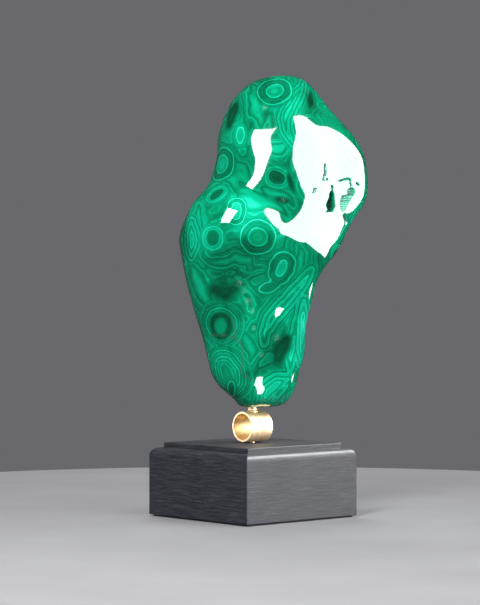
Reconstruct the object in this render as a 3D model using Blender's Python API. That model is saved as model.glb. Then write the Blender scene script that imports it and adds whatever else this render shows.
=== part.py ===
"""A polished malachite freeform, held upright on a brass ring over a stepped wooden block.

Run it with blender --background --python part.py, or from Blender's text editor.
Lengths are in metres, +Z is up and the origin is the middle of the block's underside.
The ring's bore runs along Y. The stone's broad face is turned towards +X from the block's -Y side.
"""

import math

import bmesh
import bpy
import numpy as np
from mathutils import Vector

MM = 0.001
GAP = 0.3 * MM  # between two pieces that touch

# Wooden block: a square, with a rounded shoulder and a raised panel on top, over a thin felt
FELT_THICK = 0.8 * MM
FELT_INSET = 2.0 * MM
BLOCK_SIDE = 101.6 * MM
BLOCK_UNDER = FELT_THICK + GAP
PANEL_TOP = 50.9 * MM
PANEL_INSET = 7.2 * MM
PANEL_STEP = 3.6 * MM
SHOULDER_RADIUS = 5.4 * MM
SHOULDER_STEPS = 7
ARRIS = 0.5 * MM  # the small bevel on the block's sharp edges

# Brass ring: a short tube on its side
RING_RADIUS = 10.5 * MM
RING_WALL = 1.5 * MM
RING_LENGTH = 19.0 * MM
RING_EDGE = 0.45 * MM
RING_SEGMENTS = 64
RING_LIFT = 0.7 * MM
RING_AXIS_Z = PANEL_TOP + RING_LIFT + RING_RADIUS
RING_TOP_Z = RING_AXIS_Z + RING_RADIUS

# Pins: one stands on the ring and goes up into the stone, one goes down into the block
STONE_PIN_RADIUS = 3.1 * MM
STONE_PIN_REACH = 28 * MM
STUD_RADIUS = 1.5 * MM  # what passes through the ring's wall
STUD_SUNK = 4.5 * MM  # how far the stud goes up into its rod
FOOT_PIN_REACH = 20 * MM
CUT_PAST = 3 * MM  # how far a cutter stands out of what it cuts
PIN_SEGMENTS = 32

# Stone
STONE_FOOT_Z = 74.9 * MM
STONE_HEIGHT = 229.9 * MM
STONE_TURN = math.radians(48.35)
STONE_AROUND = 76
STONE_UP = 48
CORNER_NONE = 2.15  # the section's superellipse power where it has no corner
CORNER_TIGHT = 4  # how fast a corner's own power dies away round the section
SWELL_EDGE = 0.6  # a swell fades where the surface turns away, below this share of facing it
POLE_FOOT = (3.0, 0.0)  # (across, towards) of the stone's lowest point, in millimetres
POLE_TOP = (23.0, -3.0)

# The stone's sections, in millimetres: height above its foot, then how far it reaches
# left, right, towards the broad face and away from it, all measured from the pin.
SECTIONS = (
    (1.4, -8.5, 18.0, 9.0, -9.5),
    (5.5, -12.5, 24.5, 15.0, -14.0),
    (13.8, -21.8, 29.3, 19.5, -18.5),
    (24.7, -28.7, 32.1, 21.5, -22.0),
    (35.8, -31.5, 35.5, 22.0, -23.5),
    (46.8, -34.2, 36.3, 22.5, -24.5),
    (63.4, -39.2, 36.7, 23.5, -26.0),
    (79.9, -43.9, 40.4, 26.0, -27.5),
    (96.6, -47.6, 49.4, 29.5, -29.5),
    (107.6, -49.6, 58.0, 31.5, -31.0),
    (118.7, -50.3, 63.6, 33.0, -32.0),
    (129.7, -46.6, 69.6, 33.5, -32.5),
    (140.8, -40.6, 77.0, 32.5, -32.5),
    (151.9, -32.0, 79.4, 31.5, -32.0),
    (162.9, -27.4, 79.0, 30.5, -31.5),
    (173.9, -24.6, 77.0, 29.5, -31.0),
    (185.0, -23.9, 71.7, 28.0, -30.5),
    (196.0, -21.4, 62.7, 25.5, -29.5),
    (207.1, -16.9, 52.9, 21.5, -27.0),
    (218.1, -8.9, 44.4, 15.5, -22.0),
    (225.2, 0.3, 37.6, 9.5, -16.5),
)

# How square each corner of the section is at a few heights: height above the foot, then the
# power added at the front right, front left, back left and back right. Less than nothing
# makes a flat, slanting face there.
CORNERS = (
    (0.0, 0.2, 0.0, 0.0, 0.2),
    (20.0, 1.6, 0.2, 0.3, 0.5),
    (50.0, 3.2, 0.1, 0.6, 0.3),
    (85.0, 4.2, 0.1, 0.4, 0.5),
    (113.0, 0.0, 0.3, 0.2, 0.8),
    (135.0, -0.7, 0.4, 0.2, 0.8),
    (165.0, -0.85, 0.5, 0.4, 0.3),
    (195.0, -0.6, 0.4, 0.5, 0.1),
    (229.9, 0.0, 0.0, 0.0, 0.0),
)

# Swells and hollows of the polished surface, in millimetres: the side (1 is the broad face),
# from (across, height), to (across, height), their spread, and how far they stand out.
SWELLS = (
    (1, (37.0, 220.3), (46.8, 206.2), 3.3, -2.0),
    (1, (29.7, 204.4), (27.1, 159.8), 11.9, 1.9),
    (1, (1.9, 195.5), (1.0, 202.9), 6.3, -0.4),
    (1, (1.4, 185.5), (8.6, 173.0), 11.8, 1.3),
    (1, (33.8, 169.6), (34.6, 175.8), 6.7, -1.0),
    (1, (-23.7, 162.2), (20.1, 138.2), 9.6, -3.9),
    (1, (-2.0, 149.4), (1.2, 157.8), 6.6, 0.7),
    (1, (18.5, 133.9), (23.5, 141.0), 6.9, -0.6),
    (1, (51.9, 133.4), (51.2, 142.2), 9.5, 0.4),
    (1, (-14.7, 130.8), (20.1, 119.9), 23.6, 7.0),
    (1, (42.6, 122.0), (37.4, 128.9), 10.6, 0.6),
    (1, (44.0, 108.5), (37.9, 114.9), 4.1, 1.2),
    (1, (27.9, 96.0), (32.2, 102.7), 6.2, -0.5),
    (1, (-13.4, 94.1), (6.0, 81.6), 14.5, -1.5),
    (1, (21.5, 82.1), (23.6, 93.2), 6.6, -0.4),
    (1, (33.4, 73.4), (26.0, 53.7), 10.3, 3.1),
    (1, (14.9, 71.4), (18.4, 72.5), 3.9, -0.6),
    (1, (17.2, 59.2), (20.1, 62.1), 4.4, 0.4),
    (1, (14.2, 58.9), (9.4, 64.0), 6.2, 0.4),
    (1, (23.0, 39.8), (9.8, 25.6), 8.5, -4.2),
    (1, (11.5, 25.4), (12.8, 29.4), 4.4, -0.2),
    (1, (23.9, 24.1), (24.2, 28.0), 3.4, -0.5),
    (1, (4.9, 16.8), (3.9, 21.4), 4.1, -0.2),
    (1, (8.1, 8.4), (7.0, 11.7), 4.4, -0.4),
    (1, (0.3, 6.2), (2.4, 7.9), 4.1, 3.3),
    (-1, (-20.0, 112.0), (4.0, 122.0), 16.0, 3.6),
    (-1, (30.0, 162.0), (46.0, 172.0), 15.0, -4.2),
    (-1, (2.0, 66.0), (12.0, 88.0), 12.0, -4.4),
    (-1, (-16.0, 40.0), (-10.0, 34.0), 12.0, 2.4),
    (-1, (4.0, 188.0), (14.0, 196.0), 13.0, 2.6),
)

# Natural vugs in the right lobe: (across, height) corners of the mouth in millimetres, and depth
SLIT_VUG = (
    (49.6, 134.2), (54.8, 134.8), (56.0, 137.6), (55.6, 145.6), (54.7, 149.0),
    (55.2, 152.0), (52.5, 152.8), (53.8, 149.7), (51.7, 143.7), (49.9, 139.5),
)
SLIT_DEPTH = 9.0
SHELL_VUG = (
    (61.1, 134.7), (62.8, 134.6), (65.6, 140.5), (68.0, 144.7), (70.2, 147.1),
    (70.1, 150.2), (67.4, 152.5), (63.8, 149.4), (62.7, 145.9), (60.6, 145.7), (59.6, 140.0),
)
SHELL_DEPTH = 2.4
VUG_TAPER = 0.7  # a vug's floor against its mouth
CLEAR_OF_STONE = 100.0  # a distance from the pin that is outside the stone on every side


def clear_scene():
    for obj in list(bpy.data.objects):
        bpy.data.objects.remove(obj)


def material(name, colour, roughness, metallic=0.0):
    made = bpy.data.materials.new(name)
    made.use_nodes = True
    shader = made.node_tree.nodes["Principled BSDF"]
    shader.inputs["Base Color"].default_value = (*colour, 1.0)
    shader.inputs["Roughness"].default_value = roughness
    shader.inputs["Metallic"].default_value = metallic
    return made


def add_object(name, bm, finish=None, smooth_angle=None):
    """Makes an object from a bmesh, with its faces turned outwards."""
    bmesh.ops.recalc_face_normals(bm, faces=bm.faces)
    mesh = bpy.data.meshes.new(name)
    bm.to_mesh(mesh)
    bm.free()
    if smooth_angle is not None:
        mesh.shade_smooth()
        mesh.set_sharp_from_angle(angle=math.radians(smooth_angle))
    obj = bpy.data.objects.new(name, mesh)
    bpy.context.scene.collection.objects.link(obj)
    if finish is not None:
        mesh.materials.append(finish)
    return obj


def as_cutter(obj):
    obj.hide_render = True
    obj.display_type = "WIRE"
    return obj


def cut(obj, cutter):
    modifier = obj.modifiers.new("cut_" + cutter.name, "BOOLEAN")
    modifier.operation = "DIFFERENCE"
    modifier.object = cutter


def join(obj, other):
    modifier = obj.modifiers.new("join_" + other.name, "BOOLEAN")
    modifier.operation = "UNION"
    modifier.object = other


def skin(bm, rings):
    """Joins rings of equally many vertices, one to the next, with quads."""
    for low, high in zip(rings, rings[1:]):
        for i in range(len(low)):
            j = (i + 1) % len(low)
            bm.faces.new((low[i], low[j], high[j], high[i]))


def turned(profile, segments):
    """A closed bmesh turned about Z from (radius, height) points that start and end on the axis."""
    bm = bmesh.new()
    angles = [2 * math.pi * i / segments for i in range(segments)]
    rings = [
        [bm.verts.new((r * math.cos(a), r * math.sin(a), z)) for a in angles]
        for r, z in profile[1:-1]
    ]
    skin(bm, rings)
    for ring, (_, z) in ((rings[0], profile[0]), (rings[-1], profile[-1])):
        pole = bm.verts.new((0.0, 0.0, z))
        for i in range(segments):
            bm.faces.new((ring[i], ring[(i + 1) % segments], pole))
    return bm


def square_ring(bm, half, corner, z):
    """Eight vertices of a square with clipped corners, at height z."""
    near = half - corner
    points = (
        (half, -near), (half, near), (near, half), (-near, half),
        (-half, near), (-half, -near), (-near, -half), (near, -half),
    )
    return [bm.verts.new((x, y, z)) for x, y in points]


def square_stack(levels):
    """A closed bmesh through (half side, corner, height) levels."""
    bm = bmesh.new()
    rings = [square_ring(bm, *level) for level in levels]
    skin(bm, rings)
    bm.faces.new(rings[0])
    bm.faces.new(rings[-1])
    return bm


def block_levels():
    """The block's levels from its underside up: side, shoulder arc, ledge, panel."""
    half = BLOCK_SIDE / 2
    panel = half - PANEL_INSET
    ledge = PANEL_TOP - PANEL_STEP
    levels = [(half - ARRIS, ARRIS, BLOCK_UNDER), (half, ARRIS, BLOCK_UNDER + ARRIS)]
    for i in range(SHOULDER_STEPS + 1):
        a = math.pi / 2 * i / SHOULDER_STEPS
        levels.append((
            half - SHOULDER_RADIUS * (1 - math.cos(a)),
            ARRIS,
            ledge - SHOULDER_RADIUS * (1 - math.sin(a)),
        ))
    levels.append((panel, ARRIS, ledge))
    levels.append((panel, ARRIS, PANEL_TOP - ARRIS))
    levels.append((panel - ARRIS, ARRIS, PANEL_TOP))
    return levels


def smooth_through(knots, values, at):
    """A natural cubic spline through (knots, values), read at the points of at."""
    knots, values = np.asarray(knots, float), np.asarray(values, float)
    step = np.diff(knots)
    slope = np.diff(values) / step
    count = len(knots)
    matrix, side = np.eye(count), np.zeros(count)
    for i in range(1, count - 1):
        matrix[i, i - 1 : i + 2] = step[i - 1], 2 * (step[i - 1] + step[i]), step[i]
        side[i] = 6 * (slope[i] - slope[i - 1])
    bend = np.linalg.solve(matrix, side)
    i = np.clip(np.searchsorted(knots, at) - 1, 0, count - 2)
    a, b, h = knots[i + 1] - at, at - knots[i], step[i]
    curved = (bend[i] * a**3 + bend[i + 1] * b**3) / (6 * h)
    return (
        curved
        + (values[i] / h - bend[i] * h / 6) * a
        + (values[i + 1] / h - bend[i + 1] * h / 6) * b
    )


def level_of(height):
    """Where a height above the foot falls from 0 to 1, so that levels crowd towards both poles."""
    share = np.clip(np.asarray(height, float) * MM / STONE_HEIGHT, 0, 1)
    return np.arccos(1 - 2 * share) / math.pi


def section_reach(level):
    """Left, right, front and back reach of the stone at each level, in millimetres."""
    heights = [0.0, *(row[0] for row in SECTIONS), STONE_HEIGHT / MM]
    knots = level_of(heights)
    foot = (POLE_FOOT[0], POLE_FOOT[0], POLE_FOOT[1], POLE_FOOT[1])
    top = (POLE_TOP[0], POLE_TOP[0], POLE_TOP[1], POLE_TOP[1])
    rows = np.array([foot, *(row[1:] for row in SECTIONS), top])
    return [smooth_through(knots, rows[:, k], level) for k in range(4)]


def corner_power(level, theta):
    """The superellipse power of each level's section, with what its corners add or take."""
    knots = level_of([row[0] for row in CORNERS])
    power = np.full((len(level), len(theta)), CORNER_NONE)
    for k in range(4):
        added = smooth_through(knots, [row[1 + k] for row in CORNERS], level)
        facing = np.cos(theta - math.pi / 4 - k * math.pi / 2)
        power += added[:, None] * np.clip(facing, 0, None) ** CORNER_TIGHT
    return power


def normals_of(grid):
    """Unit normals of a grid of points that closes on itself along its second index."""
    around = np.roll(grid, -1, 1) - np.roll(grid, 1, 1)
    up = np.gradient(grid, axis=0)
    normal = np.cross(around, up)
    return normal / np.maximum(np.linalg.norm(normal, axis=2, keepdims=True), 1e-9)


def raise_swells(grid):
    """Moves the grid along its normals by the sum of the swells, which fade towards its edges."""
    normal = normals_of(grid)
    plane = grid[..., (0, 2)]
    lift = np.zeros(grid.shape[:2])
    for side, start, end, spread, height in SWELLS:
        start, end = np.array(start), np.array(end)
        along = end - start
        share = np.clip((plane - start) @ along / (along @ along), 0, 1)
        apart = np.linalg.norm(plane - start - share[..., None] * along, axis=2)
        facing = np.clip(normal[..., 1] * side / SWELL_EDGE, 0, 1)
        fade = facing * facing * (3 - 2 * facing)
        lift += height * np.exp(-0.5 * (apart / spread) ** 2) * fade
    return grid + normal * lift[..., None]


def stone_grid():
    """The stone's points in millimetres: (across, towards, height) for each level and direction.

    A section is a superellipse about its middle: half its reach along each axis, times
    (|cos|^n + |sin|^n)^(-1/n) for the power n of that direction.
    """
    level = np.linspace(0, 1, STONE_UP + 1)[1:-1]
    theta = np.arange(STONE_AROUND) * 2 * math.pi / STONE_AROUND
    left, right, front, back = section_reach(level)
    power = corner_power(level, theta)
    cosine, sine = np.cos(theta), np.sin(theta)
    reach = (np.abs(cosine) ** power + np.abs(sine) ** power) ** (-1 / power)
    across = ((left + right) / 2)[:, None] + ((right - left) / 2)[:, None] * reach * cosine
    towards = ((front + back) / 2)[:, None] + ((front - back) / 2)[:, None] * reach * sine
    height = STONE_HEIGHT / MM * (1 - np.cos(math.pi * level)) / 2
    height = np.repeat(height[:, None], STONE_AROUND, axis=1)
    return raise_swells(np.stack([across, towards, height], axis=2))


def placed(across, towards, height):
    """A point of the stone, given in millimetres from its foot, in metres in the object's frame."""
    c, s = math.cos(STONE_TURN), math.sin(STONE_TURN)
    return Vector((
        (across * c + towards * s) * MM,
        (across * s - towards * c) * MM,
        STONE_FOOT_Z + height * MM,
    ))


def stone_bmesh():
    bm = bmesh.new()
    rings = [[bm.verts.new(placed(*point)) for point in ring] for ring in stone_grid()]
    skin(bm, rings)
    top = (*POLE_TOP, STONE_HEIGHT / MM)
    for ring, pole in ((rings[0], (*POLE_FOOT, 0.0)), (rings[-1], top)):
        tip = bm.verts.new(placed(*pole))
        for i in range(len(ring)):
            bm.faces.new((ring[i], ring[(i + 1) % len(ring)], tip))
    return bm


def front_depth(stone, across, height):
    """How far towards the viewer the stone's broad face stands at (across, height)."""
    start = placed(across, CLEAR_OF_STONE, height)
    aim = placed(across, 0.0, height) - start
    hit, point, _, _ = stone.ray_cast(start, aim.normalized())
    assert hit, "the vug lies off the stone"
    return CLEAR_OF_STONE - (point - start).length / MM


def vug_cutter(name, stone, mouth, depth):
    """A tapered pocket with an uneven mouth, sunk straight in from the broad face."""
    middle = [sum(p[k] for p in mouth) / len(mouth) for k in (0, 1)]
    face = front_depth(stone, *middle)
    bm = bmesh.new()
    rings = []
    for towards, scale in ((face - depth, VUG_TAPER), (face + depth, 2 - VUG_TAPER)):
        rings.append([
            bm.verts.new(placed(
                middle[0] + (a - middle[0]) * scale,
                towards,
                middle[1] + (h - middle[1]) * scale,
            ))
            for a, h in mouth
        ])
    skin(bm, rings)
    bm.faces.new(rings[0])
    bm.faces.new(rings[1])
    return as_cutter(add_object(name, bm))


def rod_cutter(name, radius, low, high, segments=PIN_SEGMENTS):
    profile = ((0.0, low), (radius, low), (radius, high), (0.0, high))
    return as_cutter(add_object(name, turned(profile, segments)))


def make_felt(finish):
    half = BLOCK_SIDE / 2 - FELT_INSET
    bm = square_stack([(half, ARRIS, 0.0), (half, ARRIS, FELT_THICK)])
    add_object("felt_pad", bm, finish)


def make_block(finish):
    block = add_object("wooden_block", square_stack(block_levels()), finish, smooth_angle=35)
    hole_floor = PANEL_TOP - FOOT_PIN_REACH - GAP
    cut(block, rod_cutter("block_hole", STUD_RADIUS + GAP, hole_floor, PANEL_TOP + CUT_PAST))


def make_ring(finish):
    """The tube, turned from a closed wall section, with a hole for a pin at its top and bottom."""
    outer, inner, half = RING_RADIUS, RING_RADIUS - RING_WALL, RING_LENGTH / 2
    wall = (
        (inner, -half + RING_EDGE), (inner + RING_EDGE, -half), (outer - RING_EDGE, -half),
        (outer, -half + RING_EDGE), (outer, half - RING_EDGE), (outer - RING_EDGE, half),
        (inner + RING_EDGE, half), (inner, half - RING_EDGE),
    )
    bm = bmesh.new()
    rings = []
    for i in range(RING_SEGMENTS):
        a = 2 * math.pi * i / RING_SEGMENTS
        rings.append([bm.verts.new((r * math.cos(a), y, r * math.sin(a))) for r, y in wall])
    skin(bm, [*rings, rings[0]])
    ring = add_object("brass_ring", bm, finish, smooth_angle=40)
    ring.location.z = RING_AXIS_Z
    top = (RING_AXIS_Z, RING_TOP_Z + CUT_PAST)
    bottom = (RING_AXIS_Z - RING_RADIUS - CUT_PAST, RING_AXIS_Z)
    cut(ring, rod_cutter("ring_top_hole", STUD_RADIUS + GAP, *top))
    cut(ring, rod_cutter("ring_bottom_hole", STUD_RADIUS + GAP, *bottom))


def make_stone_pin(finish):
    """A rod hollowed at its foot to sit on the ring, with a stud through the ring's top wall."""
    low, high = RING_TOP_Z - RING_WALL / 2, STONE_FOOT_Z + STONE_PIN_REACH
    profile = ((0.0, low), (STONE_PIN_RADIUS, low), (STONE_PIN_RADIUS, high), (0.0, high))
    pin = add_object("stone_pin", turned(profile, PIN_SEGMENTS), finish, smooth_angle=40)
    saddle = rod_cutter("pin_saddle", RING_RADIUS + GAP, -RING_LENGTH, RING_LENGTH, RING_SEGMENTS)
    saddle.rotation_euler.x = math.pi / 2
    saddle.location.z = RING_AXIS_Z
    cut(pin, saddle)
    join(pin, rod_cutter("pin_stud", STUD_RADIUS, RING_TOP_Z - RING_WALL, RING_TOP_Z + STUD_SUNK))


def make_foot_pin(finish):
    inside = RING_AXIS_Z - RING_RADIUS + RING_WALL
    low = PANEL_TOP - FOOT_PIN_REACH
    profile = ((0.0, low), (STUD_RADIUS, low), (STUD_RADIUS, inside), (0.0, inside))
    add_object("foot_pin", turned(profile, PIN_SEGMENTS), finish, smooth_angle=40)


def make_stone(finish):
    stone = add_object("malachite_freeform", stone_bmesh(), finish, smooth_angle=60)
    slit = vug_cutter("slit_vug", stone, SLIT_VUG, SLIT_DEPTH)
    shell = vug_cutter("shell_vug", stone, SHELL_VUG, SHELL_DEPTH)
    hole = (STONE_FOOT_Z - CUT_PAST, STONE_FOOT_Z + STONE_PIN_REACH + GAP)
    cut(stone, rod_cutter("stone_hole", STONE_PIN_RADIUS + GAP, *hole))
    cut(stone, slit)
    cut(stone, shell)


def main():
    clear_scene()
    brass = material("brass", (0.80, 0.55, 0.26), 0.28, metallic=1.0)
    make_felt(material("felt", (0.02, 0.02, 0.022), 0.95))
    make_block(material("black_wood", (0.055, 0.056, 0.062), 0.42))
    make_ring(brass)
    make_foot_pin(brass)
    make_stone_pin(brass)
    make_stone(material("malachite", (0.004, 0.30, 0.15), 0.08))


main()
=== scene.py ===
from math import cos, pi, radians, sin, sqrt

import bpy
import numpy as np
from mathutils import Matrix, Vector


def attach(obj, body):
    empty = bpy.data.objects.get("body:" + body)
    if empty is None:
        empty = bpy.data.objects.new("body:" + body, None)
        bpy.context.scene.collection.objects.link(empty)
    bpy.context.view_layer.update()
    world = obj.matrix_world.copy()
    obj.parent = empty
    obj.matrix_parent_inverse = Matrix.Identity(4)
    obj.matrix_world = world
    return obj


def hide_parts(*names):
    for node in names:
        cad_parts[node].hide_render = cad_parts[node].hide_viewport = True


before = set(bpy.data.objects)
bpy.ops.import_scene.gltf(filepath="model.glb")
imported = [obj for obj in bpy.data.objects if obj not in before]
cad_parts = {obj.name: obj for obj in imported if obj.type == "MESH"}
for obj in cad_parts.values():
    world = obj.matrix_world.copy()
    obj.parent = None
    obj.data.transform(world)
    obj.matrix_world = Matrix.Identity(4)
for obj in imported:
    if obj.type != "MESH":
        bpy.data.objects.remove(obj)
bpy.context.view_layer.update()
print("frame loaded")

mm = 0.001


def makeSurface(name, grid, finish, tips=(None, None), closeRows=False):
    # grid[row, column] is a point in metres and columns always close on themselves.
    # An end row closes on its tip, or the last row joins the first when closeRows is set.
    rows, columns = grid.shape[:2]
    index = np.arange(rows * columns).reshape(rows, columns)
    low, high = (index, np.roll(index, -1, axis=0)) if closeRows else (index[:-1], index[1:])
    quads = np.stack([low, np.roll(low, -1, 1), np.roll(high, -1, 1), high], axis=2).reshape(-1, 4)
    points, fans = grid.reshape(-1, 3), []
    for row, tip, flip in ((index[0], tips[0], True), (index[-1], tips[1], False)):
        if tip is not None:
            centre = np.full(columns, len(points))
            points = np.vstack([points, tip])
            pair = (np.roll(row, -1), row) if flip else (row, np.roll(row, -1))
            fans.append(np.stack([*pair, centre], axis=1))
    fans = np.vstack(fans) if fans else np.zeros((0, 3), int)
    a, b, c, d = (points[quads[:, k]] for k in range(4))
    volume = (np.cross(a, b) * c + np.cross(a, c) * d).sum()
    if volume < 0:
        quads, fans = quads[:, ::-1], fans[:, ::-1]
    mesh = bpy.data.meshes.new(name)
    mesh.vertices.add(len(points))
    mesh.vertices.foreach_set("co", points.astype(np.float32).ravel())
    corners = np.concatenate([quads.ravel(), fans.ravel()])
    sizes = np.concatenate([np.full(len(quads), 4), np.full(len(fans), 3)])
    mesh.loops.add(len(corners))
    mesh.loops.foreach_set("vertex_index", corners.astype(np.int32))
    mesh.polygons.add(len(sizes))
    mesh.polygons.foreach_set("loop_start", (np.cumsum(sizes) - sizes).astype(np.int32))
    mesh.update(calc_edges=True)
    mesh.validate()
    mesh.shade_smooth()
    mesh.materials.append(finish)
    piece = bpy.data.objects.new(name, mesh)
    bpy.context.scene.collection.objects.link(piece)
    return piece


def turnedPoints(radius, angle, height):
    # points about Z, from arrays of any shapes that broadcast together
    parts = radius * np.cos(angle), radius * np.sin(angle), height
    return np.stack(np.broadcast_arrays(*parts), axis=-1)


def axisTips(low, high):
    return np.array((0, 0, low)) * mm, np.array((0, 0, high)) * mm


class Nodes:
    # short calls that add shader nodes to one tree
    def __init__(self, tree):
        self.tree = tree

    def add(self, kind, sockets=None, **settings):
        # a socket's value is a number or colour, or the output of another node to link from
        made = self.tree.nodes.new("ShaderNode" + kind)
        for key, value in settings.items():
            setattr(made, key, value)
        for key, value in (sockets or {}).items():
            if isinstance(value, bpy.types.NodeSocket):
                self.tree.links.new(value, made.inputs[key])
            else:
                made.inputs[key].default_value = value
        return made

    def math(self, operation, *values, clamp=False):
        sockets = dict(enumerate(values))
        return self.add("Math", sockets, operation=operation, use_clamp=clamp).outputs[0]

    def vector(self, operation, vector, other):
        sockets = {0: vector, "Scale" if operation == "SCALE" else 1: other}
        return self.add("VectorMath", sockets, operation=operation).outputs[0]

    def ramp(self, value, stops):
        # stops are (place from 0 to 1, colour), with a share for the second output after it
        node = self.add("ValToRGB", {0: value})
        elements = node.color_ramp.elements
        for k, (place, colour, *share) in enumerate(stops):
            stop = elements[k] if k < 2 else elements.new(place)
            stop.position = place
            stop.color = (*colour, *(share or [1]))
        return node

    def tones(self, value, tones):
        # tones are (place from 0 to 1, colour as it looks on a screen)
        return self.ramp(value, [(place, linear(*tone)) for place, tone in tones]).outputs[0]

    def mix(self, share, one, other):
        return self.add("Mix", {0: share, 6: one, 7: other}, data_type="RGBA").outputs[2]

    def noise(self, vector, scale, detail=2.0, roughness=0.5):
        sockets = {"Vector": vector, "Scale": scale, "Detail": detail, "Roughness": roughness}
        return self.add("TexNoise", sockets).outputs[0]

    def place(self, x=1, y=1, z=1):
        # object coordinates in millimetres, times a scale along each axis
        place = self.add("TexCoord").outputs["Object"]
        sockets = {"Vector": place, "Scale": (1000 * x, 1000 * y, 1000 * z)}
        return self.add("Mapping", sockets).outputs[0]

    def read(self, name, output="Fac"):
        return self.add("Attribute", attribute_name=name).outputs[output]

    def bump(self, strength, distance, height):
        sockets = {"Strength": strength, "Distance": distance, "Height": height}
        return self.add("Bump", sockets).outputs[0]


def newFinish(name, **settings):
    made = bpy.data.materials.new(name)
    made.use_nodes = True
    shader = made.node_tree.nodes["Principled BSDF"]
    for key, value in settings.items():
        shader.inputs[key].default_value = value
    return Nodes(made.node_tree), shader, made


def joinFinish(shader, colour, roughness=None, relief=None):
    for key, socket in ("Base Color", colour), ("Roughness", roughness), ("Normal", relief):
        if socket:
            shader.id_data.links.new(socket, shader.inputs[key])


def linear(red, green, blue):
    # a colour as it looks on a screen, from 0 to 255, turned into light
    return tuple(
        v / 255 / 12.92 if v < 10.3 else ((v / 255 + 0.055) / 1.055) ** 2.4
        for v in (red, green, blue)
    )


def screenTone(tone):
    return (*linear(*tone), 1)


stone = {
    "foot": 74.9,  # height of its lowest point, all in millimetres
    "height": 229.9,
    "turn": 48.35,  # degrees that the broad face turns from the block's side
    "rows": 262,
    "columns": 320,
    "finer": 3.4,  # how much closer the grid is round the vugs
    "finerHeights": (129, 166),
    "finerTurn": (0.03, 0.16),
    "finerEdge": 0.006,
    "plainCorner": 2.15,  # the section's superellipse power where it has no corner
    "lowest": (3.0, 0.0),
    "highest": (23.0, -3.0),
    "pinHole": 3.4,
    "pinHoleDepth": 28.3,
    "swellEdge": 0.6,  # a swell fades where less than this share of the surface faces its way
    "wave": 0.05,  # unevenness that polishing leaves
}

# height above the foot, then the reach left, right, towards the broad face and away from it
stoneSections = (
    (1.4, -8.5, 18, 9, -9.5), (5.5, -12.5, 24.5, 15, -14), (13.8, -21.8, 29.3, 19.5, -18.5),
    (24.7, -28.7, 32.1, 21.5, -22), (35.8, -31.5, 35.5, 22, -23.5),
    (46.8, -34.2, 36.3, 22.5, -24.5), (63.4, -39.2, 36.7, 23.5, -26),
    (79.9, -43.9, 40.4, 26, -27.5), (96.6, -47.6, 49.4, 29.5, -29.5), (107.6, -49.6, 58, 31.5, -31),
    (118.7, -50.3, 63.6, 33, -32), (129.7, -46.6, 69.6, 33.5, -32.5),
    (140.8, -40.6, 77, 32.5, -32.5), (151.9, -32, 79.4, 31.5, -32), (162.9, -27.4, 79, 30.5, -31.5),
    (173.9, -24.6, 77, 29.5, -31), (185, -23.9, 71.7, 28, -30.5), (196, -21.4, 62.7, 25.5, -29.5),
    (207.1, -16.9, 52.9, 21.5, -27), (218.1, -8.9, 44.4, 15.5, -22), (225.2, 0.3, 37.6, 9.5, -16.5),
)
# height, then the power added at the front right, front left, back left and back right corner
stoneCorners = (
    (0, 0.2, 0, 0, 0.2), (20, 1.6, 0.2, 0.3, 0.5), (50, 3.2, 0.1, 0.6, 0.3),
    (85, 4.2, 0.1, 0.4, 0.5), (113, 0, 0.3, 0.2, 0.8), (135, -0.7, 0.4, 0.2, 0.8),
    (165, -0.85, 0.5, 0.4, 0.3), (195, -0.6, 0.4, 0.5, 0.1), (229.9, 0, 0, 0, 0),
)
# side (1 is the broad face), across and height of both ends, spread and rise
stoneSwells = (
    (1, 37, 220.3, 46.8, 206.2, 3.3, -2), (1, 29.7, 204.4, 27.1, 159.8, 11.9, 1.9),
    (1, 1.9, 195.5, 1, 202.9, 6.3, -0.4), (1, 1.4, 185.5, 8.6, 173, 11.8, 1.3),
    (1, 33.8, 169.6, 34.6, 175.8, 6.7, -1), (1, -23.7, 162.2, 20.1, 138.2, 9.6, -3.9),
    (1, -2, 149.4, 1.2, 157.8, 6.6, 0.7), (1, 18.5, 133.9, 23.5, 141, 6.9, -0.6),
    (1, 51.9, 133.4, 51.2, 142.2, 9.5, 0.4), (1, -14.7, 130.8, 20.1, 119.9, 23.6, 7),
    (1, 42.6, 122, 37.4, 128.9, 10.6, 0.6), (1, 44, 108.5, 37.9, 114.9, 4.1, 1.2),
    (1, 27.9, 96, 32.2, 102.7, 6.2, -0.5), (1, -13.4, 94.1, 6, 81.6, 14.5, -1.5),
    (1, 21.5, 82.1, 23.6, 93.2, 6.6, -0.4), (1, 33.4, 73.4, 26, 53.7, 10.3, 3.1),
    (1, 14.9, 71.4, 18.4, 72.5, 3.9, -0.6), (1, 17.2, 59.2, 20.1, 62.1, 4.4, 0.4),
    (1, 14.2, 58.9, 9.4, 64, 6.2, 0.4), (1, 23, 39.8, 9.8, 25.6, 8.5, -4.2),
    (1, 11.5, 25.4, 12.8, 29.4, 4.4, -0.2), (1, 23.9, 24.1, 24.2, 28, 3.4, -0.5),
    (1, 4.9, 16.8, 3.9, 21.4, 4.1, -0.2), (1, 8.1, 8.4, 7, 11.7, 4.4, -0.4),
    (1, 0.3, 6.2, 2.4, 7.9, 4.1, 3.3), (-1, -20, 112, 4, 122, 16, 3.6),
    (-1, 30, 162, 46, 172, 15, -4.2), (-1, 2, 66, 12, 88, 12, -4.4),
    (-1, -16, 40, -10, 34, 12, 2.4), (-1, 4, 188, 14, 196, 13, 2.6), (1, 37, 96, 33, 70, 3.2, 0.9),
)


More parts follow.
